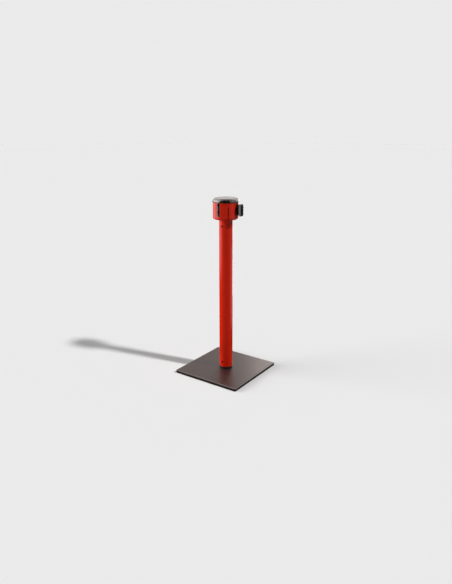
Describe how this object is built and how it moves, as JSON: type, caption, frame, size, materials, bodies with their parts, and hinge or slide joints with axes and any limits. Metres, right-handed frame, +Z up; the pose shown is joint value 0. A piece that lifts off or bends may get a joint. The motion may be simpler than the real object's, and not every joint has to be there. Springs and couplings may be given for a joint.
{
  "type": "retractable belt barrier post",
  "caption": "Free-standing round post on a square plate, with a round head that pays out and winds back a belt, receivers for other belts and a sloping cap.",
  "frame": {"origin": "on the floor, under the tube's axis, at the centre of the base's footprint", "axes": "+Z up along the tube; +X is the way the belt pulls out; -Y faces the front receiver; X and Y run along the plate's sides"},
  "size_m": [0.42, 0.42, 1.01],
  "materials": {
    "pad_rubber": "matte",
    "plate_paint": "satin",
    "black_steel": "black oxide",
    "steel": "ground",
    "black_plastic": "gloss",
    "red_paint": "gloss",
    "cast_alloy": "as cast",
    "red_shell": "gloss",
    "grey_plastic": "matte",
    "spring_steel": "blued",
    "bronze": "machined",
    "white_plastic": "matte",
    "belt_fabric": "woven",
    "clip_plastic": "gloss",
    "cap_metal": "satin polished"
  },
  "bodies": {
    "post": {"base_pad": "pad_rubber", "base_plate": "plate_paint", "base_screws": "black_steel", "base_spigot": "steel", "foot_ring": "black_plastic", "post_tube": "red_paint", "set_screws": "black_steel", "head_plug": "cast_alloy", "head_casing": "red_shell", "casing_screws": "black_steel", "exit_guide": "black_plastic", "guide_pin": "steel", "cassette_base": "grey_plastic", "cassette_screws": "black_steel", "spindle": "steel", "retaining_ring": "spring_steel", "thrust_washer": "steel", "belt_lead": "belt_fabric", "top_cap": "cap_metal", "cap_screw": "steel", "receiver_front": "black_plastic", "receiver_back": "black_plastic", "receiver_left": "black_plastic"},
    "reel": {"reel": "white_plastic", "reel_flange": "white_plastic", "flange_screws": "black_steel", "lower_bush": "bronze", "upper_bush": "bronze", "mainspring": "spring_steel", "belt_roll": "belt_fabric"},
    "belt_end": {"belt_run": "belt_fabric", "clip_body": "clip_plastic", "clip_pin": "steel", "clip_screw": "steel"}
  },
  "joints": [
    {"name": "belt_pull", "type": "slide", "parent": "post", "child": "belt_end", "axis": [1, 0, 0], "range_m": [0, 2.1], "stiffness_N_per_m": 3, "springref_m": -3, "deforming": ["belt_run"]},
    {"name": "reel_spin", "type": "hinge", "parent": "post", "child": "reel", "pos_m": [0, 0, 0.95], "axis": [0, 0, 1], "range_deg": [0, 3298], "deforming": ["mainspring"]}
  ],
  "couplings": [
    {"joint": "reel_spin", "follows": "belt_pull", "rad_per_m": 27.397}
  ]
}
